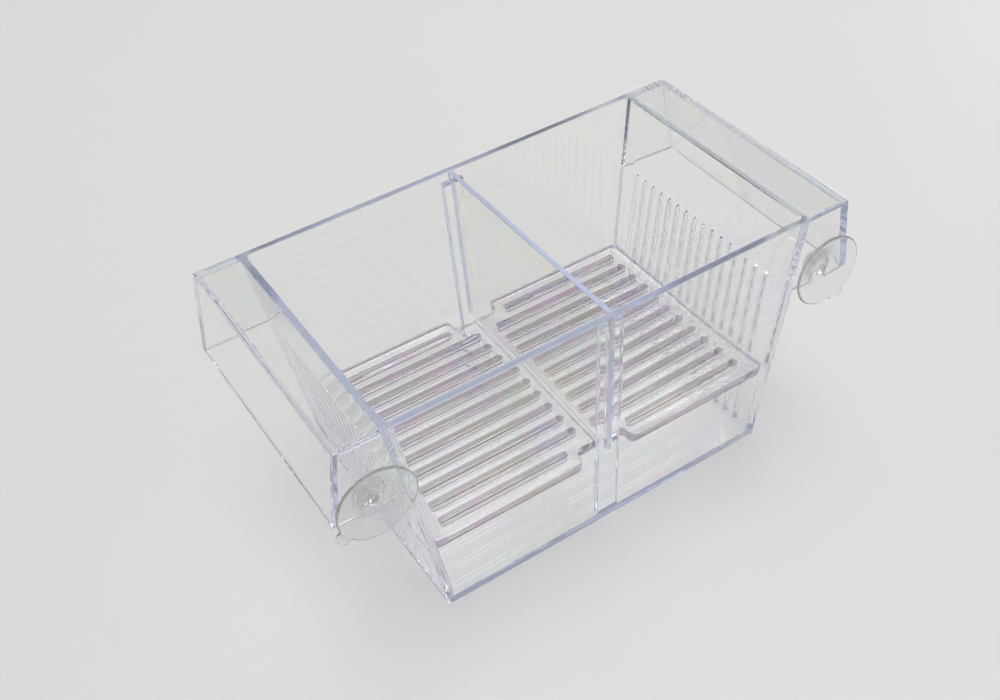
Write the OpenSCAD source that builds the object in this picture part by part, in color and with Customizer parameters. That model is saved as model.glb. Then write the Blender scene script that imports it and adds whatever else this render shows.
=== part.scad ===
// Fish breeding box: a clear tank with two float chambers, a lift-out divider,
// two lift-out floor grids and two suction cups.
// Millimetres. X runs along the box, Y from the front to the back, Z up.
// The base stands on Z = 0 and is centred on X = 0, Y = 0.

/* [Tank box] */
// Length of the tank at the rim, over both float chambers
top_length = 200; // [150:0.5:260]
// Width of the tank at the rim
top_width = 103; // [80:0.5:140]
// Height of the tank
box_height = 101; // [80:0.5:140]
// Length of the floor, outside
floor_length = 138.6; // [110:0.2:160]
// Thickness of every wall
wall = 2.4; // [1.6:0.1:3.2]
// Thickness of the floor
floor_thickness = 2.4; // [1.6:0.1:4]
// Inward lean of the front and back walls, in degrees
side_lean = 2.63; // [1:0.01:4]

/* [Float chambers] */
// Length of a float chamber's top, outside
float_length = 16.2; // [12:0.1:22]
// Height of a float chamber
float_depth = 31; // [24:0.5:40]
// Outward lean of a float chamber's end wall, in degrees
float_flare = 7.9; // [0:0.1:12]

/* [Water slits] */
// Slits in each sloping end wall
slit_count = 16; // [8:1:18]
// Distance between slit centres
slit_pitch = 5.09; // [4:0.01:5.4]
// Width of a slit
slit_width = 1.5; // [0.8:0.1:2.5]
// Distance from the rim down to the top of the slits
slit_drop = 29.5; // [20:0.5:45]
// Height of the lower end of the slits above the floor
slit_rise = 0.4; // [0.3:0.1:16]

/* [Divider] */
// Thickness of the divider
divider_thickness = 2; // [1.5:0.1:3]
// Gap between the divider and what is next to it
divider_clearance = 0.3; // [0.25:0.05:0.5]
// Height of the slot's floor above the underside of the grids
slot_rise = 4; // [3:0.5:8]
// Width of the rib on each side of the slot
rib_width = 3.1; // [2:0.1:4]
// Distance that the ribs stand out of the wall
rib_depth = 2.6; // [1.5:0.1:4]
// Distance from the rim down to the rounded tops of the ribs
rib_drop = 3.5; // [2:0.1:8]
// Diameter of the two round moulding marks on the divider
mark_diameter = 4; // [3:0.1:5]
// Depth of the moulding marks
mark_depth = 0.3; // [0.1:0.05:0.5]
// Distance from the rim down to the centre of the marks
mark_drop = 3; // [2.8:0.1:6]
// Distance from the divider's upper corners to the marks
mark_inset = 11.6; // [6:0.1:20]

/* [Floor grids] */
// Height of the underside of the grids above the base
grid_height = 32; // [20:0.5:34]
// Thickness of a grid
grid_thickness = 4.2; // [3:0.1:5]
// Gap between a grid and what is next to it
grid_clearance = 0.3; // [0.25:0.05:0.5]
// Slots in each grid
grid_slots = 11; // [6:1:11]
// Distance between slot centres
grid_pitch = 7.75; // [6.5:0.05:8]
// Width of a slot
grid_slot_width = 3; // [2:0.1:4]
// Width of the solid strip at the outer end of a grid
grid_outer_strip = 5.75; // [4:0.05:9]
// Width of the solid strip at the inner end of a grid
grid_inner_strip = 3; // [2:0.1:5]
// Rounding of the bars' upper edges
bar_rounding = 0.6; // [0.3:0.1:1.7]
// Rounding of a grid's two outer corners
corner_rounding = 2.5; // [1:0.1:3.5]
// Free gap between the ribs and the corner notches, along the box
notch_gap_length = 5.9; // [4:0.1:9]
// Free gap between the ribs and the corner notches, across the box
notch_gap_depth = 3.7; // [2:0.1:6]
// Rounding of the notches' corners
notch_rounding = 2.5; // [1:0.1:3]

/* [Suction cups] */
// Diameter of a suction cup
cup_diameter = 28; // [22:0.5:34]
// Distance of the cup's rim from the front wall
cup_standoff = 4.6; // [4:0.1:7]
// Distance from the end of the tank at the rim to the cup's axis
cup_inset = 9.5; // [8:0.1:11]
// Distance from the rim down to the cup's axis
cup_drop = 24.3; // [18:0.1:26]
// Diameter of the cup's neck, which sits in the notch of the front wall
neck_diameter = 6.6; // [5:0.1:8]
// Gap round the neck in its notch
neck_clearance = 0.05; // [0.02:0.01:0.1]
// How much narrower than the neck the notch's way in from below is
neck_squeeze = 0.8; // [0.4:0.1:1.5]
// Diameter of the cup's head, inside the float chamber
head_diameter = 10.4; // [9:0.1:12]
// Thickness of the cup's head
head_thickness = 2.2; // [1.5:0.1:3]
// Diameter of the hub between the neck and the cup
hub_diameter = 10; // [9:0.1:12]
// Gap between the cup's head or hub and the wall
cup_clearance = 0.3; // [0.2:0.05:0.5]
// Thickness of the cup's rim
cup_edge = 0.8; // [0.6:0.1:1.5]
// Thickness of the cup's middle
cup_web = 1.7; // [1.2:0.1:2]
// Width of the pull tab on the cup's rim
tab_width = 6; // [4:0.1:9]
// Distance that the pull tab stands out of the rim
tab_length = 2.8; // [2:0.1:5]
// Step from each face of the cup's rim to the tab
tab_step = 0.1; // [0.05:0.05:0.2]
// Angle of the left cup's tab, in degrees, as seen from the front
left_tab_angle = 210; // [0:1:359]
// Angle of the right cup's tab, in degrees, as seen from the front
right_tab_angle = 294; // [0:1:359]

/* [Hidden] */
$fn = 96;
over = 1;
lean = tan(side_lean);
half_top = top_length / 2 - float_length;
half_floor = floor_length / 2;
slope = (half_top - half_floor) / box_height;
flare = tan(float_flare);
float_bottom = box_height - float_depth;
slot_floor = grid_height + slot_rise;
slit_start = floor_thickness + slit_rise;
slot_half = divider_thickness / 2 + divider_clearance;
rib_outer = slot_half + rib_width;
grid_inner = divider_thickness / 2 + grid_clearance;
notch_end = rib_outer + notch_gap_length;
grid_top = grid_height + grid_thickness;
neck_hole = neck_diameter / 2 + neck_clearance;
cup_x = top_length / 2 - cup_inset;
cup_z = box_height - cup_drop;

// Outside of the sloping end wall, and of the front and back walls, at height z
function end_x(z) = half_floor + slope * z;
function side_y(z) = top_width / 2 - lean * (box_height - z);
function flare_x(z) = top_length / 2 + flare * (box_height - z);

// Y at which the corner notches of the grids end
notch_y = side_y(grid_height) - wall - rib_depth - notch_gap_depth;

// A solid whose outline in X and Z is given, from the front to the back
module along_y() {
    translate([0, top_width, 0]) rotate([90, 0, 0]) linear_extrude(2 * top_width) children();
}

// A solid whose outline in Y and Z is given, between two values of X
module along_x(from, to) {
    translate([from, 0, 0]) rotate([90, 0, 90]) linear_extrude(to - from) children();
}

// The space between the front and back walls, inset by a distance
module between_sides(inset, low, high) {
    reach = top_length;
    along_x(-reach, reach) polygon([
        [-side_y(low) + inset, low], [side_y(low) - inset, low],
        [side_y(high) - inset, high], [-side_y(high) + inset, high]]);
}

module tank_outline() {
    polygon([[-half_floor, 0], [half_floor, 0],
        [half_top, box_height], [-half_top, box_height]]);
    for (side = [-1, 1]) scale([side, 1]) polygon([
        [end_x(float_bottom) - wall / 2, float_bottom], [flare_x(float_bottom), float_bottom],
        [flare_x(box_height), box_height], [end_x(box_height) - wall / 2, box_height]]);
}

module tank_hollows() {
    low = floor_thickness;
    high = box_height + over;
    polygon([[-end_x(low) + wall, low], [end_x(low) - wall, low],
        [end_x(high) - wall, high], [-end_x(high) + wall, high]]);
    roof = box_height - wall;
    under = float_bottom - over;
    for (side = [-1, 1]) scale([side, 1]) polygon([
        [end_x(under), under], [flare_x(under) - wall, under],
        [flare_x(roof) - wall, roof], [end_x(roof), roof]]);
}

module slits() {
    high = box_height - slit_drop;
    for (side = [-1, 1]) for (i = [0 : slit_count - 1])
        translate([0, (i - (slit_count - 1) / 2) * slit_pitch + slit_width / 2, 0])
            rotate([90, 0, 0]) linear_extrude(slit_width) scale([side, 1]) polygon([
                [end_x(slit_start) - wall - over, slit_start], [end_x(slit_start) + over, slit_start],
                [end_x(high) + over, high], [end_x(high) - wall - over, high]]);
}

// Open-bottomed notches in the front wall for the necks of the cups
module neck_notches() {
    depth = wall + side_y(box_height) - side_y(float_bottom) + 2 * over;
    way_in = neck_diameter - neck_squeeze;
    for (side = [-1, 1]) translate([side * cup_x, -side_y(box_height) - over, cup_z]) {
        rotate([-90, 0, 0]) cylinder(r = neck_hole, h = depth);
        translate([-way_in / 2, 0, float_bottom - over - cup_z])
            cube([way_in, depth, cup_z - float_bottom + over]);
    }
}

// Outline of the ribs and of the pad under them, on the back wall
module rib_outline() {
    low = floor_thickness / 2;
    top = box_height - rib_drop - rib_depth;
    root = wall / 2;
    polygon([[side_y(low) - wall - rib_depth, low], [side_y(low) - root, low],
        [side_y(top) - root, top], [side_y(top) - wall - rib_depth, top]]);
    intersection() {
        translate([side_y(top) - wall, top]) circle(r = rib_depth);
        translate([side_y(top) - wall - rib_depth - over, top])
            square([rib_depth + over + root, rib_depth + over]);
    }
}

module slot_ribs() {
    for (back = [0, 1]) mirror([0, 1 - back, 0]) difference() {
        along_x(-rib_outer, rib_outer) rib_outline();
        translate([-slot_half, 0, slot_floor]) cube([2 * slot_half, top_width, box_height]);
    }
}

module tank_body() color([0.72, 0.82, 0.92, 0.35]) {
    difference() {
        intersection() {
            along_y() tank_outline();
            between_sides(0, 0, box_height);
        }
        intersection() {
            along_y() tank_hollows();
            between_sides(wall, 0, box_height + over);
        }
        slits();
        neck_notches();
    }
    slot_ribs();
}

module divider() color([0.62, 0.66, 0.9, 0.6]) {
    low = slot_floor + divider_clearance;
    inset = wall + divider_clearance;
    difference() {
        along_x(-divider_thickness / 2, divider_thickness / 2) polygon([
            [-side_y(low) + inset, low], [side_y(low) - inset, low],
            [side_y(box_height) - inset, box_height], [-side_y(box_height) + inset, box_height]]);
        for (side = [-1, 1])
            translate([-divider_thickness / 2 - over,
                side * (side_y(box_height) - inset - mark_inset), box_height - mark_drop])
                rotate([0, 90, 0]) cylinder(d = mark_diameter, h = over + mark_depth);
    }
}

// Opening of one slot of a grid, with rounded upper edges on the bars beside it
module grid_slot_outline() {
    translate([-grid_slot_width / 2, -over]) square([grid_slot_width, grid_thickness + 2 * over]);
    difference() {
        translate([-grid_slot_width / 2 - bar_rounding, grid_thickness - bar_rounding])
            square([grid_slot_width + 2 * bar_rounding, bar_rounding + over]);
        for (side = [-1, 1])
            translate([side * (grid_slot_width / 2 + bar_rounding), grid_thickness - bar_rounding])
                circle(r = bar_rounding);
    }
}

// Corner notch of a grid in plan, with a rounded inner corner
module notch_outline() {
    reach = side_y(grid_top);
    difference() {
        translate([grid_inner - over, notch_y]) square([notch_end - grid_inner + over, reach - notch_y]);
        translate([notch_end - notch_rounding, notch_y]) square(notch_rounding);
    }
    translate([notch_end - notch_rounding, notch_y + notch_rounding]) circle(r = notch_rounding);
}

// What the rounding takes off an outer corner of a grid, in plan
module corner_outline() {
    slack = 0.05;
    centre = [end_x(grid_top), side_y(grid_top)]
        - (wall + grid_clearance + corner_rounding - slack) * [1, 1];
    difference() {
        translate(centre) square(2 * corner_rounding);
        translate(centre) circle(r = corner_rounding);
    }
}

// The grid on the right; the left one is its mirror image
module grid_shape() {
    inset = wall + grid_clearance;
    outer = end_x(grid_height) - inset;
    difference() {
        intersection() {
            along_y() polygon([[grid_inner, grid_height], [end_x(grid_height) - inset, grid_height],
                [end_x(grid_top) - inset, grid_top], [grid_inner, grid_top]]);
            between_sides(inset, grid_height, grid_top);
        }
        for (i = [0 : grid_slots - 1]) {
            y = (i - (grid_slots - 1) / 2) * grid_pitch;
            beside = abs(y) + grid_slot_width / 2 > notch_y - grid_inner_strip;
            from = (beside ? notch_end : grid_inner) + grid_inner_strip;
            translate([0, y, grid_height]) along_x(from, outer - grid_outer_strip) grid_slot_outline();
        }
        for (side = [0, 1]) mirror([0, side, 0])
            translate([0, 0, grid_height - over]) linear_extrude(grid_thickness + 2 * over) {
                notch_outline();
                corner_outline();
            }
    }
}

module left_floor_grid() color([0.85, 0.72, 0.85, 0.7]) mirror([1, 0, 0]) grid_shape();

module right_floor_grid() color([0.72, 0.85, 0.8, 0.7]) grid_shape();

// A suction cup turned about its axis; the first value is the radius, the second
// the distance outwards from the front wall's outer face
module cup_outline() {
    cup_r = cup_diameter / 2;
    hub_r = hub_diameter / 2;
    head_r = head_diameter / 2;
    neck_r = neck_diameter / 2;
    back = lean * hub_r + cup_clearance;
    seat = -wall - lean * head_r - cup_clearance;
    polygon([[0, seat - head_thickness], [head_r - 1, seat - head_thickness],
        [head_r, seat - head_thickness + 1], [head_r, seat], [neck_r, seat], [neck_r, back],
        [hub_r, back], [hub_r + 0.5, back + 0.5], [cup_r - 1, cup_standoff - cup_edge - 0.3],
        [cup_r, cup_standoff - cup_edge], [cup_r, cup_standoff],
        [cup_r - cup_edge, cup_standoff], [cup_r - 3, cup_standoff - 0.7],
        [hub_r + 1, back + cup_web], [2.2, back + cup_web - 0.2],
        [1.6, back + cup_web + 0.4], [0, back + cup_web + 0.5]]);
}

module suction_cup(side, tab_angle) {
    cup_r = cup_diameter / 2;
    translate([side * cup_x, -side_y(cup_z), cup_z]) rotate([90, 0, 0]) {
        rotate_extrude() cup_outline();
        rotate([0, 0, tab_angle]) translate([0, 0, cup_standoff - cup_edge + tab_step]) intersection() {
            translate([cup_r - cup_edge / 2, -tab_width / 2, 0])
                cube([cup_edge / 2 + tab_length, tab_width, cup_edge - 2 * tab_step]);
            translate([cup_r + tab_length - tab_width, 0, -over])
                cylinder(r = tab_width, h = cup_edge + over);
        }
    }
}

module left_suction_cup() color([0.62, 0.68, 0.66, 0.8]) suction_cup(-1, left_tab_angle);

module right_suction_cup() color([0.62, 0.68, 0.66, 0.8]) suction_cup(1, right_tab_angle);

tank_body();
divider();
left_floor_grid();
right_floor_grid();
left_suction_cup();
right_suction_cup();
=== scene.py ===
import bpy
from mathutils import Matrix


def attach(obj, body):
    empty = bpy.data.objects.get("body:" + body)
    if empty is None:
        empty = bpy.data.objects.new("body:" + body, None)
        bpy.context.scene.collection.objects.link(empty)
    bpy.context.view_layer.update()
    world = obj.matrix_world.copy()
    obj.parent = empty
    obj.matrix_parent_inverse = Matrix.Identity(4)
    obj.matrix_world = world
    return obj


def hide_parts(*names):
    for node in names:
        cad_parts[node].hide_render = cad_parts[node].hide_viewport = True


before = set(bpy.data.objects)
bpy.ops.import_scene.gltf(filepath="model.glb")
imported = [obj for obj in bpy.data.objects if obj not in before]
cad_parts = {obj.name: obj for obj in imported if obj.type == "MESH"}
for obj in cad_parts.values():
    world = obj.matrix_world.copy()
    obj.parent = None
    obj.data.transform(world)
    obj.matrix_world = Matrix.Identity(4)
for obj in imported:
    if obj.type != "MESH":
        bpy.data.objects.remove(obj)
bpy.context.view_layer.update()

import bpy
import math

bpy.ops.object.select_all(action='DESELECT')
print("frame loaded")

# the photograph's view, and how often light may pass or bounce in the clear plastic
cameraSetup = {
    "place": (-0.17651, -0.29184, 0.36251),
    "turn": (47.298, 3.1538, -33.5471),   # degrees
    "lens": 45.333, "sensor": 36.0, "shift": -0.0235,
    "near": 0.01, "far": 40,
    "bounces": 40, "shadowBounces": 24,
}

bpy.ops.object.camera_add(location=cameraSetup["place"],
                          rotation=[math.radians(a) for a in cameraSetup["turn"]])
camera = bpy.context.object
camera.name = "camera"
camera.data.lens = cameraSetup["lens"]
camera.data.sensor_width = cameraSetup["sensor"]
camera.data.shift_x = cameraSetup["shift"]
camera.data.clip_start = cameraSetup["near"]
camera.data.clip_end = cameraSetup["far"]
bpy.context.scene.camera = camera
bpy.context.scene.view_settings.view_transform = 'Standard'
bpy.context.scene.cycles.max_bounces = cameraSetup["bounces"]
bpy.context.scene.cycles.transmission_bounces = cameraSetup["bounces"]
bpy.context.scene.cycles.glossy_bounces = cameraSetup["bounces"]
bpy.context.scene.cycles.transparent_max_bounces = cameraSetup["shadowBounces"]
print("camera placed")


# small modelling helpers
hair = 1e-5   # places closer than this are the same


def selectOnly(piece):
    bpy.ops.object.select_all(action='DESELECT')
    piece.select_set(True)
    bpy.context.view_layer.objects.active = piece


def pick(piece, kind, layer, test):
    # goes into edit mode with only those parts of the mesh picked for which test is true
    bpy.ops.object.mode_set(mode='EDIT')
    bpy.ops.mesh.select_mode(type=kind)
    bpy.ops.mesh.select_all(action='DESELECT')
    bpy.ops.object.mode_set(mode='OBJECT')
    for part in getattr(piece.data, layer):
        part.select = test(part)
    bpy.ops.object.mode_set(mode='EDIT')


def selectVerts(piece, test):
    # test(position)
    pick(piece, 'VERT', "vertices", lambda v: test(v.co))


def selectFaces(piece, test):
    # test(centre, normal)
    pick(piece, 'FACE', "polygons", lambda f: test(f.center, f.normal))


def selectEdges(piece, test):
    # test(start, end)
    def ends(e):
        return [piece.data.vertices[i].co for i in e.vertices]
    pick(piece, 'EDGE', "edges", lambda e: test(*ends(e)))


def isUpright(a, b, least):
    # an edge whose ends differ in height by more than least
    return abs(a.z - b.z) > least


def roundEdges(piece, test, radius, segments):
    selectEdges(piece, test)
    bpy.ops.mesh.bevel(offset=radius, segments=segments, affect='EDGES')
    bpy.ops.object.mode_set(mode='OBJECT')


def wedgeBlock(name, low, high):
    # low and high are (x from, x to, y from, y to, z): the block's floor and its top
    bpy.ops.object.select_all(action='DESELECT')
    bpy.ops.mesh.primitive_cube_add(size=1, location=(
        (high[0] + high[1]) / 2, (high[2] + high[3]) / 2, (low[4] + high[4]) / 2))
    piece = bpy.context.object
    piece.name = name
    piece.scale = (high[1] - high[0], high[3] - high[2], high[4] - low[4])
    bpy.ops.object.transform_apply(location=True, rotation=True, scale=True)
    middle = (low[4] + high[4]) / 2
    selectVerts(piece, lambda co: co.z < middle)
    centre = ((high[0] + high[1]) / 2, (high[2] + high[3]) / 2, low[4])
    bpy.ops.transform.resize(value=((low[1] - low[0]) / (high[1] - high[0]),
                                    (low[3] - low[2]) / (high[3] - high[2]), 1),
                             center_override=centre)
    bpy.ops.transform.translate(value=((low[0] + low[1]) / 2 - centre[0],
                                       (low[2] + low[3]) / 2 - centre[1], 0))
    bpy.ops.object.mode_set(mode='OBJECT')
    return piece


def straightBlock(name, x, y, z):
    # x, y and z are (from, to)
    return wedgeBlock(name, (*x, *y, z[0]), (*x, *y, z[1]))


def cylinder(vertices, radius, depth, place, turn):
    bpy.ops.object.select_all(action='DESELECT')
    bpy.ops.mesh.primitive_cylinder_add(vertices=vertices, radius=radius, depth=depth,
                                        location=place, rotation=turn)
    bpy.ops.object.transform_apply(location=True, rotation=True, scale=True)
    return bpy.context.object


def copyOf(piece, move=(0, 0, 0), mirrored=False):
    selectOnly(piece)
    bpy.ops.object.duplicate(linked=False)
    twin = bpy.context.object
    if mirrored:   # to the other end of the box
        bpy.ops.object.mode_set(mode='EDIT')
        bpy.ops.mesh.select_all(action='SELECT')
        bpy.ops.transform.resize(value=(-1, 1, 1), center_override=(0, 0, 0))
        bpy.ops.mesh.normals_make_consistent(inside=False)
        bpy.ops.object.mode_set(mode='OBJECT')
    twin.location = move
    bpy.ops.object.transform_apply(location=True, rotation=False, scale=False)
    return twin


def joined(name, pieces):
    selectOnly(pieces[0])
    for p in pieces:
        p.select_set(True)
    bpy.ops.object.join()
    pieces[0].name = name
    return pieces[0]


def combine(piece, other, how):
    selectOnly(piece)
    step = piece.modifiers.new("combine", 'BOOLEAN')
    step.operation = how
    step.solver = 'EXACT'
    step.object = other
    bpy.ops.object.modifier_apply(modifier=step.name)
    bpy.data.objects.remove(other, do_unlink=True)


def softenEdges(piece, width, angle):
    # a light rounding of every edge sharper than the angle, in degrees
    selectOnly(piece)
    bpy.ops.object.mode_set(mode='EDIT')
    bpy.ops.mesh.select_all(action='SELECT')
    bpy.ops.mesh.remove_doubles(threshold=2 * hair)
    bpy.ops.object.mode_set(mode='OBJECT')
    step = piece.modifiers.new("soften", 'BEVEL')
    step.width = width
    step.segments = 2
    step.limit_method = 'ANGLE'
    step.angle_limit = math.radians(angle)
    step.miter_outer = 'MITER_ARC'
    step.use_clamp_overlap = False
    bpy.ops.object.modifier_apply(modifier=step.name)


def shadeSmooth(piece, angle):
    selectOnly(piece)
    bpy.ops.object.shade_smooth_by_angle(angle=math.radians(angle))


def dress(piece, material):
    piece.data.materials.clear()
    piece.data.materials.append(material)


# small material helpers
def newMaterial(name):
    mat = bpy.data.materials.new(name)
    mat.use_nodes = True
    mat.node_tree.nodes.clear()
    return mat, mat.node_tree.nodes, mat.node_tree.links


def addNode(nodes, kind, inputs=None, **settings):
    node = nodes.new(kind)
    for setting, value in settings.items():
        setattr(node, setting, value)
    for socket, value in (inputs or {}).items():
        node.inputs[socket].default_value = value
    return node


def mapRange(nodes, fromMin, fromMax, toMin, toMax):
    return addNode(nodes, "ShaderNodeMapRange", {
        "From Min": fromMin, "From Max": fromMax, "To Min": toMin, "To Max": toMax})


def colourRamp(nodes, stops, blending):
    # stops are (place, colour), the first and the last are the ramp's two ends
    node = addNode(nodes, "ShaderNodeValToRGB")
    ramp = node.color_ramp
    ramp.interpolation = blending
    for end, (spot, colour) in zip(ramp.elements, (stops[0], stops[-1])):
        end.position, end.color = spot, (*colour, 1)
    for spot, colour in stops[1:-1]:
        ramp.elements.new(spot).color = (*colour, 1)
    return node


def depthColour(nodes, links, out, colour, density):
    # the light takes on this colour on its way through the piece
    depth = addNode(nodes, "ShaderNodeVolumeAbsorption", {
        "Color": (*colour, 1), "Density": density})
    links.new(depth.outputs["Volume"], out.inputs["Volume"])


# clear moulded plastic, for the tank, the divider and the grids
plastic = {
    "roughness": 0.02, "ior": 1.5, "density": 9,
    "lampTint": (0.995, 0.995, 1.0),
    "rimColour": (0.60, 0.69, 0.93),   # the long way through a rim turns it lavender blue
    "dividerColour": (0.68, 0.73, 0.96),
    # the stress pattern, drawn out upwards
    "stressDetail": 1.5, "stressTwist": 1.2, "stressHeight": 0.65,
    # the grids: where the stress colours and the painted shade on the bars' upright faces show
    "levelFaces": 0.9, "sideFaces": 0.3, "levelShare": 0.08,
    # the tank: the rim of its open middle
    "rimBottom": 0.1003, "rimReach": 0.0838, "rimRoughness": 0.35,
    # the divider: its narrow faces, and its milky upper edge
    "broadFaces": 0.9, "narrowFaces": 0.4, "edgeRoughness": 0.4,
    "edgeMilk": 0.42, "edgeColour": (0.67, 0.73, 0.88),
    "faintFringes": [
        (0.0, (1, 1, 1)), (0.36, (1.0, 0.90, 0.95)), (0.43, (0.88, 1.0, 0.94)),
        (0.50, (1.0, 0.95, 0.86)), (0.57, (0.98, 0.92, 0.97)), (0.64, (0.87, 0.94, 1.0)),
        (1.0, (1, 1, 1))],
    # for the grids: mauve, brown and green stress tints, darkened as painted shade on the bars'
    # sides
    "stressAndShadeFringes": [
        (0.0, (0.60, 0.59, 0.60)), (0.30, (0.62, 0.53, 0.56)), (0.39, (0.65, 0.54, 0.45)),
        (0.45, (0.53, 0.63, 0.56)), (0.50, (0.67, 0.51, 0.59)), (0.57, (0.67, 0.48, 0.62)),
        (0.63, (0.53, 0.55, 0.73)), (0.71, (0.68, 0.63, 0.51)), (1.0, (0.60, 0.59, 0.60))],
}


def clearPlastic(name, colour, fringesAndShade, strength, grain, seed):
    # clear styrene with coloured stress patterns, on the piece's own coordinates; for the grids
    # these colours also hold painted shade
    mat, nodes, links = newMaterial(name)
    out = addNode(nodes, "ShaderNodeOutputMaterial")
    shader = addNode(nodes, "ShaderNodeBsdfPrincipled", {
        "Transmission Weight": 1.0, "Roughness": plastic["roughness"], "IOR": plastic["ior"]})
    coords = addNode(nodes, "ShaderNodeTexCoord")
    place = addNode(nodes, "ShaderNodeMapping", {
        "Location": (seed, seed * 0.7, seed * 0.3),
        "Scale": (grain, grain, grain * plastic["stressHeight"])})
    stress = addNode(nodes, "ShaderNodeTexNoise", {
        "Scale": 1.0, "Detail": plastic["stressDetail"], "Distortion": plastic["stressTwist"]})
    fringeAndShade = colourRamp(nodes, fringesAndShade, 'B_SPLINE')
    blend = addNode(nodes, "ShaderNodeMix", {"Factor": strength, "A": (1, 1, 1, 1)},
                    data_type='RGBA')
    links.new(coords.outputs["Object"], place.inputs["Vector"])
    links.new(place.outputs["Vector"], stress.inputs["Vector"])
    links.new(stress.outputs["Fac"], fringeAndShade.inputs["Fac"])
    links.new(fringeAndShade.outputs["Color"], blend.inputs["B"])
    links.new(blend.outputs["Result"], shader.inputs["Base Color"])
    # lamps shine through the thin walls, so that the floor gets the pale shadow of clear plastic
    through = addNode(nodes, "ShaderNodeBsdfTransparent", {"Color": (*plastic["lampTint"], 1)})
    rays = addNode(nodes, "ShaderNodeLightPath")
    choose = addNode(nodes, "ShaderNodeMixShader")
    links.new(rays.outputs["Is Shadow Ray"], choose.inputs["Fac"])
    links.new(shader.outputs["BSDF"], choose.inputs[1])
    links.new(through.outputs["BSDF"], choose.inputs[2])
    links.new(choose.outputs["Shader"], out.inputs["Surface"])
    depthColour(nodes, links, out, colour, plastic["density"])
    return mat, nodes, links, {"coords": coords, "blend": blend, "shader": shader}


def tankPlastic():
    # the cut rim of the open middle is a little dull
    mat, nodes, links, base = clearPlastic(
        "wallClear", plastic["rimColour"], plastic["faintFringes"],
        strength=0.4, grain=14, seed=0.0)
    spot = addNode(nodes, "ShaderNodeSeparateXYZ")
    upper = addNode(nodes, "ShaderNodeMath", {1: plastic["rimBottom"]}, operation='GREATER_THAN')
    along = addNode(nodes, "ShaderNodeMath", operation='ABSOLUTE')
    inside = addNode(nodes, "ShaderNodeMath", {1: plastic["rimReach"]}, operation='LESS_THAN')
    both = addNode(nodes, "ShaderNodeMath", operation='MULTIPLY')
    dull = mapRange(nodes, 0, 1, plastic["roughness"], plastic["rimRoughness"])
    links.new(base["coords"].outputs["Object"], spot.inputs["Vector"])
    links.new(spot.outputs["Z"], upper.inputs[0])
    links.new(spot.outputs["X"], along.inputs[0])
    links.new(along.outputs["Value"], inside.inputs[0])
    links.new(upper.outputs["Value"], both.inputs[0])
    links.new(inside.outputs["Value"], both.inputs[1])
    links.new(both.outputs["Value"], dull.inputs["Value"])
    links.new(dull.outputs["Result"], base["shader"].inputs["Roughness"])
    return mat


def dividerPlastic():
    mat, nodes, links, base = clearPlastic(
        "dividerClear", plastic["dividerColour"], plastic["faintFringes"],
        strength=0.9, grain=30, seed=1.7)
    # the plate's narrow faces are a little dull
    side = addNode(nodes, "ShaderNodeSeparateXYZ")
    broad = addNode(nodes, "ShaderNodeMath", operation='ABSOLUTE')
    edge = mapRange(nodes, plastic["broadFaces"], plastic["narrowFaces"],
                    plastic["roughness"], plastic["edgeRoughness"])
    links.new(base["coords"].outputs["Normal"], side.inputs["Vector"])
    links.new(side.outputs["X"], broad.inputs[0])
    links.new(broad.outputs["Value"], edge.inputs["Value"])
    links.new(edge.outputs["Result"], base["shader"].inputs["Roughness"])
    # its upper edge is also a little milky, in the lavender blue of the rims
    upward = mapRange(nodes, plastic["narrowFaces"], plastic["broadFaces"], 0, 1)
    milky = addNode(nodes, "ShaderNodeMath", {1: -plastic["edgeMilk"], 2: 1.0},
                    operation='MULTIPLY_ADD')
    paleEdge = addNode(nodes, "ShaderNodeMix", {"B": (*plastic["edgeColour"], 1)}, data_type='RGBA')
    links.new(side.outputs["Z"], upward.inputs["Value"])
    links.new(upward.outputs["Result"], milky.inputs[0])
    links.new(milky.outputs["Value"], base["shader"].inputs["Transmission Weight"])
    links.new(upward.outputs["Result"], paleEdge.inputs["Factor"])
    links.new(base["blend"].outputs["Result"], paleEdge.inputs["A"])
    links.new(paleEdge.outputs["Result"], base["shader"].inputs["Base Color"])
    return mat


def gridPlastic():
    # the stress colours show in the upright faces of the bars, darkened there as painted shade
    strength = 1.0
    mat, nodes, links, base = clearPlastic(
        "gridClear", plastic["rimColour"], plastic["stressAndShadeFringes"], strength, grain=26, seed=3.1)
    facing = addNode(nodes, "ShaderNodeSeparateXYZ")
    level = addNode(nodes, "ShaderNodeMath", operation='ABSOLUTE')
    upright = mapRange(nodes, plastic["levelFaces"], plastic["sideFaces"],
                       strength * plastic["levelShare"], strength)
    links.new(base["coords"].outputs["Normal"], facing.inputs["Vector"])
    links.new(facing.outputs["Z"], level.inputs[0])
    links.new(level.outputs["Value"], upright.inputs["Value"])
    links.new(upright.outputs["Result"], base["blend"].inputs["Factor"])
    return mat


wallClear = tankPlastic()
dividerClear = dividerPlastic()
gridClear = gridPlastic()
print("materials made")


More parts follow.
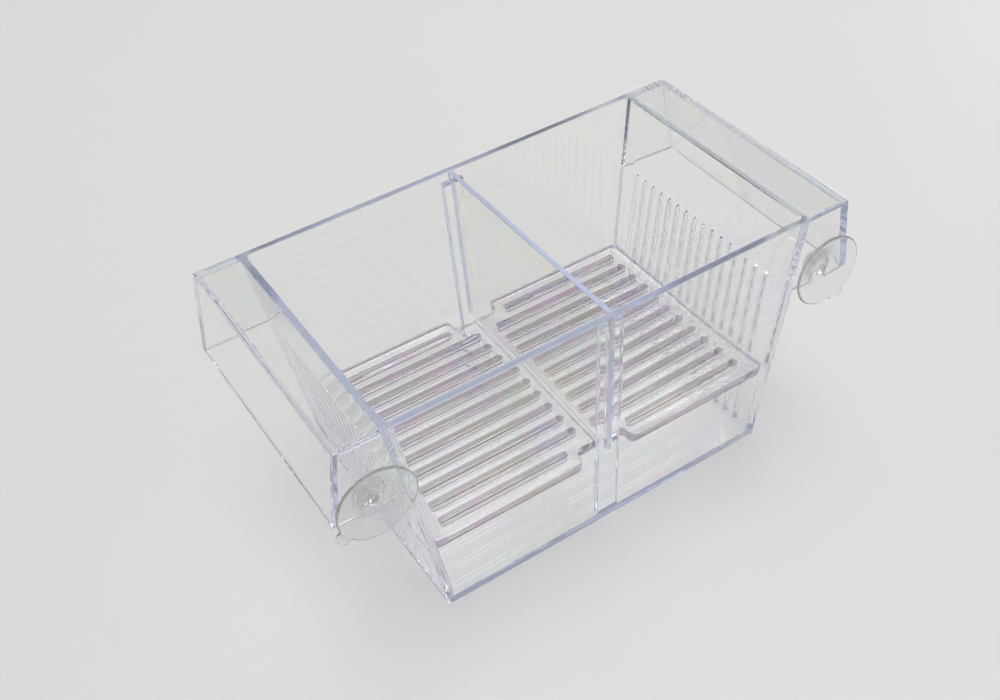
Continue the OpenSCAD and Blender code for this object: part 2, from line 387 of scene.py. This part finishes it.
# the tank, in metres
tank = {
    "topLength": 0.200, "topWidth": 0.103, "height": 0.101, "floorLength": 0.1386,
    "wall": 0.0024, "floor": 0.0024, "sideLean": math.tan(math.radians(2.63)),
    "floatLength": 0.0162, "floatDepth": 0.031, "flare": math.tan(math.radians(7.9)),
    "slits": 16, "slitPitch": 0.00509, "slitWidth": 0.0015, "slitTop": 0.0715, "slitBottom": 0.0031,
    "ribInner": 0.0013, "ribOuter": 0.0044, "ribDepth": 0.0026, "ribTop": 0.0975,
    "ribRounding": 0.8,   # of the rib's depth
    "slotFloor": 0.036,
    "neckHole": 0.00335, "neckWayIn": 0.0029, "cupX": 0.0905, "cupZ": 0.0767,
    "edge": 0.0003, "cornerFillet": 0.0018,
    "filletSteps": 7, "ribSteps": 6, "neckSides": 48,
    # degrees: sharper edges are rounded, flatter ones are shaded smooth
    "sharpFrom": 30, "smoothUnder": 16,
    # how far the cutters reach: above and below the tank, past a slit's ends, and in y
    "overcut": 0.004, "slitOvercut": 0.001, "cutFrom": 0.03, "cutTo": 0.06, "neckCutFrom": 0.044,
    "neckCutDepth": 0.012,
}


def endX(z):
    # outside of the sloping end wall at height z
    low, high = tank["floorLength"] / 2, tank["topLength"] / 2 - tank["floatLength"]
    return low + (high - low) * z / tank["height"]


def sideY(z):
    # outside of the front and back walls at height z
    return tank["topWidth"] / 2 - tank["sideLean"] * (tank["height"] - z)


def flareX(z):
    # outside of a float chamber's end wall at height z
    return tank["topLength"] / 2 + tank["flare"] * (tank["height"] - z)


def span(z, x0, x1, inset=0.0):
    return (x0, x1, -sideY(z) + inset, sideY(z) - inset, z)


def tankShell():
    high, low, wall = tank["height"], tank["floor"], tank["wall"]
    under = high - tank["floatDepth"]
    body = wedgeBlock("tankShell", span(0, -endX(0), endX(0)), span(high, -endX(high), endX(high)))
    # the end faces are split at the floats' lower edge, and their upper parts drawn out
    outwards = 0.8   # an end face's normal, at least
    bpy.ops.object.mode_set(mode='EDIT')
    bpy.ops.mesh.select_all(action='SELECT')
    bpy.ops.mesh.bisect(plane_co=(0, 0, under), plane_no=(0, 0, 1))
    bpy.ops.object.mode_set(mode='OBJECT')
    drawnOut = flareX(high) - endX(high)
    for side in (-1, 1):
        selectFaces(body, lambda centre, normal: side * normal.x > outwards and centre.z > under)
        bpy.ops.mesh.extrude_region_move(TRANSFORM_OT_translate={"value": (side * drawnOut, 0, 0)})
        bpy.ops.object.mode_set(mode='OBJECT')
        # the float's lower outer edge
        selectVerts(body, lambda co: abs(co.z - under) < hair and side * co.x > endX(high))
        bpy.ops.transform.translate(value=(
            side * (flareX(under) - flareX(high) + endX(high) - endX(under)), 0, 0))
        bpy.ops.object.mode_set(mode='OBJECT')

    over = high + tank["overcut"]
    cavity = wedgeBlock("cavity", span(low, -endX(low) + wall, endX(low) - wall, wall),
                        span(over, -endX(over) + wall, endX(over) - wall, wall))
    roundEdges(cavity, lambda a, b: isUpright(a, b, high / 2),
               tank["cornerFillet"], tank["filletSteps"])
    combine(body, cavity, 'DIFFERENCE')
    roof = high - wall
    rightAir = wedgeBlock("air", span(under, endX(under), flareX(under) - wall, wall),
                          span(roof, endX(roof), flareX(roof) - wall, wall))
    leftAir = copyOf(rightAir, mirrored=True)
    combine(body, rightAir, 'DIFFERENCE')
    combine(body, leftAir, 'DIFFERENCE')
    print("tank shell hollowed")
    return body


def ribSpan(z, side):
    y = sorted((side * (sideY(z) - tank["wall"] - tank["ribDepth"]),
                side * (sideY(z) - tank["wall"] / 2)))
    return (-tank["ribOuter"], tank["ribOuter"], *y, z)


def addRibs(body):
    # a pair of ribs with rounded tops on each long wall, with the divider's slot between them
    face = sideY(tank["ribTop"]) - tank["wall"] - tank["ribDepth"] / 2
    ribs = []
    for side in (-1, 1):
        rib = wedgeBlock("rib", ribSpan(tank["floor"] / 2, side), ribSpan(tank["ribTop"], side))
        roundEdges(rib, lambda a, b: min(a.z, b.z) > tank["ribTop"] - hair
                   and abs(a.y - b.y) < hair and abs(a.y) < face,
                   tank["ribDepth"] * tank["ribRounding"], tank["ribSteps"])
        slot = straightBlock("slot", (-tank["ribInner"], tank["ribInner"]),
                             sorted((side * tank["cutFrom"], side * tank["cutTo"])),
                             (tank["slotFloor"], tank["height"] + tank["overcut"]))
        combine(rib, slot, 'DIFFERENCE')
        ribs.append(rib)
    for rib in ribs:
        combine(body, rib, 'UNION')


def cutNotches(body):
    # for the suction cups' necks, open at the floats' lower edge
    half = tank["neckWayIn"]
    under = tank["height"] - tank["floatDepth"]
    for side in (-1, 1):
        x = side * tank["cupX"]
        hole = cylinder(tank["neckSides"], tank["neckHole"], tank["neckCutDepth"],
                        (x, -sideY(tank["cupZ"]), tank["cupZ"]), (math.pi / 2, 0, 0))
        wayIn = straightBlock("wayIn", (x - half, x + half), (-tank["cutTo"], -tank["neckCutFrom"]),
                              (under - tank["overcut"], tank["cupZ"]))
        combine(hole, wayIn, 'UNION')
        combine(body, hole, 'DIFFERENCE')


def cutSlits(body):
    # one slit, copied along each sloping end wall
    z0, z1 = tank["slitBottom"], tank["slitTop"]
    half, past = tank["slitWidth"] / 2, tank["slitOvercut"]
    slit = wedgeBlock("slit", (endX(z0) - tank["wall"] - past, endX(z0) + past, -half, half, z0),
                      (endX(z1) - tank["wall"] - past, endX(z1) + past, -half, half, z1))
    rightRow = joined("slitRow", [
        copyOf(slit, move=(0, (i - (tank["slits"] - 1) / 2) * tank["slitPitch"], 0))
        for i in range(tank["slits"])])
    bpy.data.objects.remove(slit, do_unlink=True)
    leftRow = copyOf(rightRow, mirrored=True)
    combine(body, rightRow, 'DIFFERENCE')
    combine(body, leftRow, 'DIFFERENCE')
    print("slits cut")


tankPiece = tankShell()
addRibs(tankPiece)
cutNotches(tankPiece)
cutSlits(tankPiece)
softenEdges(tankPiece, tank["edge"], tank["sharpFrom"])
shadeSmooth(tankPiece, tank["smoothUnder"])
tankPiece.name = "clearTank"
dress(tankPiece, wallClear)
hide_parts("tank_body")
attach(tankPiece, "tank")
print("tank done")


# the divider, with two shallow moulding marks in its left face
dividerPlate = {
    "half": 0.001, "low": 0.0363, "high": 0.101, "gap": 0.0002,
    "markRadius": 0.002, "markDepth": 0.0003, "markInset": 0.0116, "markDrop": 0.003,
    "markCutter": 0.002, "markSides": 40,
    "edge": 0.0002, "sharpFrom": 30, "smoothUnder": 16,   # the angles in degrees
}


def buildDivider():
    d = dividerPlate
    inset = tank["wall"] + d["gap"]
    plate = wedgeBlock("dividerPlate", span(d["low"], -d["half"], d["half"], inset),
                       span(d["high"], -d["half"], d["half"], inset))
    softenEdges(plate, d["edge"], d["sharpFrom"])
    x = -d["half"] + d["markDepth"] - d["markCutter"] / 2
    y = sideY(d["high"]) - inset - d["markInset"]
    for side in (-1, 1):
        mark = cylinder(d["markSides"], d["markRadius"], d["markCutter"],
                        (x, side * y, d["high"] - d["markDrop"]), (0, math.pi / 2, 0))
        combine(plate, mark, 'DIFFERENCE')
    shadeSmooth(plate, d["smoothUnder"])
    return plate


dividerPiece = buildDivider()
dividerPiece.name = "clearDivider"
dress(dividerPiece, dividerClear)
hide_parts("divider")
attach(dividerPiece, "divider")
print("divider done")


# the floor grids
grid = {
    "low": 0.032, "high": 0.0362, "gap": 0.0003, "inner": 0.0013,
    "slots": 11, "pitch": 0.00775, "slotWidth": 0.003, "slotRounding": 0.0012,
    "outerStrip": 0.00575, "innerStrip": 0.003,
    "rounding": 0.0006, "roundedTo": 0.0405,   # of the bars' upper edges, and up to which y
    "corner": 0.0025, "notchEnd": 0.0103, "notchY": 0.03963, "notchRounding": 0.0025,
    "cornerSteps": 8, "slotSteps": 4,
    "edge": 0.00025, "sharpFrom": 40, "smoothUnder": 35,   # the angles in degrees
    "overcut": 0.002, "cutTo": 0.06,   # how far the cutters reach: past the plate, and in y
}


def buildGrid():
    g = grid
    thick = (g["low"] - g["overcut"], g["high"] + g["overcut"])
    least = (g["high"] - g["low"]) / 2   # an upright edge is longer than this
    inset = tank["wall"] + g["gap"]
    outer = endX(g["low"]) - inset - g["outerStrip"]
    plate = wedgeBlock("gridPlate", span(g["low"], g["inner"], endX(g["low"]) - inset, inset),
                       span(g["high"], g["inner"], endX(g["high"]) - inset, inset))
    # corner notches beside the divider
    for side in (-1, 1):
        notch = straightBlock("notch", (g["inner"] - g["overcut"], g["notchEnd"]),
                              sorted((side * g["notchY"], side * g["cutTo"])), thick)
        roundEdges(notch, lambda a, b: isUpright(a, b, least) and a.x > g["notchEnd"] / 2
                   and abs(a.y) < g["notchY"] + hair, g["notchRounding"], g["cornerSteps"])
        combine(plate, notch, 'DIFFERENCE')
    # the plate's outer corners, then its own corners by the notches
    roundEdges(plate, lambda a, b: isUpright(a, b, least) and min(a.x, b.x) > outer,
               g["corner"], g["cornerSteps"])
    besideWall = sideY(g["low"]) - inset - g["notchRounding"]
    roundEdges(plate, lambda a, b: isUpright(a, b, least) and abs(a.x - g["notchEnd"]) < hair
               and abs(a.y) > besideWall, g["notchRounding"], g["cornerSteps"])

    half = g["slotWidth"] / 2
    slots = []
    for i in range(g["slots"]):
        y = (i - (g["slots"] - 1) / 2) * g["pitch"]
        besideNotch = abs(y) + half > g["notchY"] - g["innerStrip"]
        start = (g["notchEnd"] if besideNotch else g["inner"]) + g["innerStrip"]
        slot = straightBlock("slot", (start, outer), (y - half, y + half), thick)
        roundEdges(slot, lambda a, b: isUpright(a, b, least), g["slotRounding"], g["slotSteps"])
        slots.append(slot)
    combine(plate, joined("slots", slots), 'DIFFERENCE')

    # the bars' upper edges are rounded, then everything lightly
    roundEdges(plate, lambda a, b: min(a.z, b.z) > g["high"] - hair
               and max(abs(a.y), abs(b.y)) < g["roundedTo"]
               and min(a.x, b.x) > g["inner"] + g["innerStrip"] - hair
               and max(a.x, b.x) < outer + hair,
               g["rounding"], g["slotSteps"])
    softenEdges(plate, g["edge"], g["sharpFrom"])
    shadeSmooth(plate, g["smoothUnder"])
    return plate


rightGrid = buildGrid()
rightGrid.name = "clearGridRight"
leftGrid = copyOf(rightGrid, mirrored=True)
leftGrid.name = "clearGridLeft"
for piece, node, body in ((rightGrid, "right_floor_grid", "right_grid"),
                          (leftGrid, "left_floor_grid", "left_grid")):
    dress(piece, gridClear)
    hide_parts(node)
    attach(piece, body)
print("grids done")


# the suction cups; heights run from the tank's wall towards the pane
cup = {
    "radius": 0.014, "neck": 0.0033, "head": 0.0052, "hub": 0.005, "standoff": 0.0046,
    "edge": 0.0008, "seat": -0.00294, "headThick": 0.0022, "back": 0.00053,
    "tabLength": 0.0028, "tabWidth": 0.006, "tabThick": 0.0006, "tabRoot": 0.0005,
    "tabDrop": 0.0001, "tabRounding": 0.0022, "tabSteps": 6,
    "leftTab": 210, "rightTab": 294,   # degrees round the cup
    "sides": 96, "smoothUnder": 50,    # degrees
    "colour": (0.80, 0.815, 0.80), "density": 120,   # darkens the thick rim and hub
    "tones": [(0, (0.93, 0.94, 0.935)), (1, (0.98, 0.985, 0.98))], "toneSize": 120,
    "toneDetail": 3,
    "roughness": 0.09, "ior": 1.4, "bump": 0.15, "bumpDepth": 0.0003,
}


def softCup(name):
    # translucent greyish vinyl
    mat, nodes, links = newMaterial(name)
    out = addNode(nodes, "ShaderNodeOutputMaterial")
    shader = addNode(nodes, "ShaderNodeBsdfPrincipled", {
        "Transmission Weight": 1.0, "Roughness": cup["roughness"], "IOR": cup["ior"]})
    coords = addNode(nodes, "ShaderNodeTexCoord")
    cloud = addNode(nodes, "ShaderNodeTexNoise", {
        "Scale": cup["toneSize"], "Detail": cup["toneDetail"]})
    tone = colourRamp(nodes, cup["tones"], 'LINEAR')
    bump = addNode(nodes, "ShaderNodeBump", {
        "Strength": cup["bump"], "Distance": cup["bumpDepth"]})
    links.new(coords.outputs["Object"], cloud.inputs["Vector"])
    links.new(cloud.outputs["Fac"], tone.inputs["Fac"])
    links.new(tone.outputs["Color"], shader.inputs["Base Color"])
    links.new(cloud.outputs["Fac"], bump.inputs["Height"])
    links.new(bump.outputs["Normal"], shader.inputs["Normal"])
    links.new(shader.outputs["BSDF"], out.inputs["Surface"])
    depthColour(nodes, links, out, cup["colour"], cup["density"])
    return mat


cupVinyl = softCup("cupVinyl")


def cupRings():
    # (radius, height) of each ring, from the head in the tank's wall to the cup's hollow
    top, head, neck, hub = cup["seat"] - cup["headThick"], cup["head"], cup["neck"], cup["hub"]
    seat, back, r, s = cup["seat"], cup["back"], cup["radius"], cup["standoff"]
    lip = s - cup["edge"]
    return [
        # head
        (0.0022, top), (head - 0.0009, top + 0.0002), (head - 0.0002, top + 0.0009),
        (head, seat - 0.0005), (head - 0.0003, seat),
        # neck
        (neck + 0.0001, seat), (neck, seat + 0.0003), (neck, back - 0.0003), (neck + 0.0003, back),
        # hub and back of the disc
        (hub - 0.0002, back), (hub + 0.0004, back + 0.0004), (0.0075, back + 0.0011),
        (0.0100, back + 0.0019), (0.0122, back + 0.0026), (0.0133, lip - 0.0002),
        # lip
        (r - 0.0002, lip + 0.0001), (r, lip + 0.0004), (r, s - 0.0002), (r - 0.0002, s),
        (r - 0.0008, s - 0.0001),
        # hollow, with a dimple in its middle
        (0.0120, s - 0.0006), (0.0095, s - 0.0013), (0.0070, s - 0.0019), (0.0045, s - 0.0023),
        (0.0025, s - 0.0025), (0.0019, s - 0.0024), (0.0016, s - 0.0020), (0.0010, s - 0.0017),
    ]


def buildCup(side, tabAngle):
    # built upright along Z, then laid down so that it faces the front
    rings = cupRings()
    bpy.ops.object.select_all(action='DESELECT')
    bpy.ops.mesh.primitive_circle_add(vertices=cup["sides"], radius=rings[0][0],
                                      location=(0, 0, rings[0][1]), fill_type='NGON')
    piece = bpy.context.object
    bpy.ops.object.transform_apply(location=True, rotation=True, scale=True)
    bpy.ops.object.mode_set(mode='EDIT')
    bpy.ops.mesh.select_mode(type='FACE')
    bpy.ops.mesh.select_all(action='SELECT')
    for (r0, z0), (r1, z1) in zip(rings, rings[1:]):
        bpy.ops.mesh.extrude_region_move(TRANSFORM_OT_translate={"value": (0, 0, z1 - z0)})
        bpy.ops.transform.resize(value=(r1 / r0, r1 / r0, 1), center_override=(0, 0, z1))
    bpy.ops.mesh.select_all(action='SELECT')
    bpy.ops.mesh.normals_make_consistent(inside=False)
    bpy.ops.object.mode_set(mode='OBJECT')
    # pull tab on the rim
    r, s, half = cup["radius"], cup["standoff"], cup["tabWidth"] / 2
    front = s - cup["tabDrop"]
    tab = straightBlock("tab", (r - cup["tabRoot"], r + cup["tabLength"]), (-half, half),
                        (front - cup["tabThick"], front))
    roundEdges(tab, lambda a, b: isUpright(a, b, cup["tabThick"] / 2) and a.x > r,
               cup["tabRounding"], cup["tabSteps"])
    combine(piece, tab, 'UNION')
    shadeSmooth(piece, cup["smoothUnder"])
    piece.rotation_euler = (0, 0, math.radians(tabAngle))
    bpy.ops.object.transform_apply(location=False, rotation=True, scale=False)
    piece.rotation_euler = (math.pi / 2, 0, 0)
    piece.location = (side * tank["cupX"], -sideY(tank["cupZ"]), tank["cupZ"])
    bpy.ops.object.transform_apply(location=True, rotation=True, scale=True)
    return piece


for side, word, angle in ((-1, "Left", cup["leftTab"]), (1, "Right", cup["rightTab"])):
    piece = buildCup(side, angle)
    piece.name = "suctionCup" + word
    dress(piece, cupVinyl)
    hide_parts(word.lower() + "_suction_cup")
    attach(piece, word.lower() + "_cup")
print("cups done")


# floor, world and lamps
studio = {
    "floorSize": 16.0, "floorDrop": 0.0002,
    "floorColour": (0.69, 0.69, 0.685), "floorRoughness": 0.35, "floorGloss": 0.25,
    # height on a ramp from straight down to straight up, brightness:
    # a pale horizon, a darker ring above it and a bright ceiling, so that clear edges show
    "sky": [(0.50, 0.86), (0.60, 0.88), (0.68, 0.42), (0.955, 0.45), (0.99, 3.0)],
    # name, place, turn in degrees, size, energy
    "lamps": [
        ("topLight", (0.45, 0.25, 1.4), (-10, 18, 0), 0.95, 6.3),
        ("sideLight", (-1.4, 0.4, 0.9), (0, -62, 0), 1.0, 1.2),
        ("glintLight", (0.75, 0.1, 1.15), (-6, 33, 0), 0.15, 0.7),
        ("lowLight", (1.5, 0.7, 0.4), (-8, 78, 25), 0.4, 1.2),
    ],
}


def paleFloor():
    mat, nodes, links = newMaterial("paleFloor")
    out = addNode(nodes, "ShaderNodeOutputMaterial")
    shader = addNode(nodes, "ShaderNodeBsdfPrincipled", {
        "Base Color": (*studio["floorColour"], 1), "Roughness": studio["floorRoughness"],
        "Specular IOR Level": studio["floorGloss"]})
    links.new(shader.outputs["BSDF"], out.inputs["Surface"])
    return mat


bpy.ops.object.select_all(action='DESELECT')
bpy.ops.mesh.primitive_plane_add(size=studio["floorSize"], location=(0, 0, -studio["floorDrop"]))
floor = bpy.context.object
floor.name = "studioFloor"
dress(floor, paleFloor())

world = bpy.data.worlds.new("studio")
bpy.context.scene.world = world
world.use_nodes = True
skyNodes, skyLinks = world.node_tree.nodes, world.node_tree.links
background = skyNodes["Background"]
background.inputs["Strength"].default_value = 1.0
direction = addNode(skyNodes, "ShaderNodeTexCoord")
split = addNode(skyNodes, "ShaderNodeSeparateXYZ")
fromZeroToOne = addNode(skyNodes, "ShaderNodeMath", {1: 0.5, 2: 0.5}, operation='MULTIPLY_ADD')
skyRamp = colourRamp(skyNodes, [(height, (level,) * 3) for height, level in studio["sky"]], 'EASE')
skyLinks.new(direction.outputs["Generated"], split.inputs["Vector"])
skyLinks.new(split.outputs["Z"], fromZeroToOne.inputs[0])
skyLinks.new(fromZeroToOne.outputs["Value"], skyRamp.inputs["Fac"])
skyLinks.new(skyRamp.outputs["Color"], background.inputs["Color"])

for name, place, turn, size, energy in studio["lamps"]:
    bpy.ops.object.light_add(type='AREA', location=place, rotation=[math.radians(a) for a in turn])
    lamp = bpy.context.object
    lamp.name = name
    lamp.data.size = size
    lamp.data.energy = energy
print("studio lit")
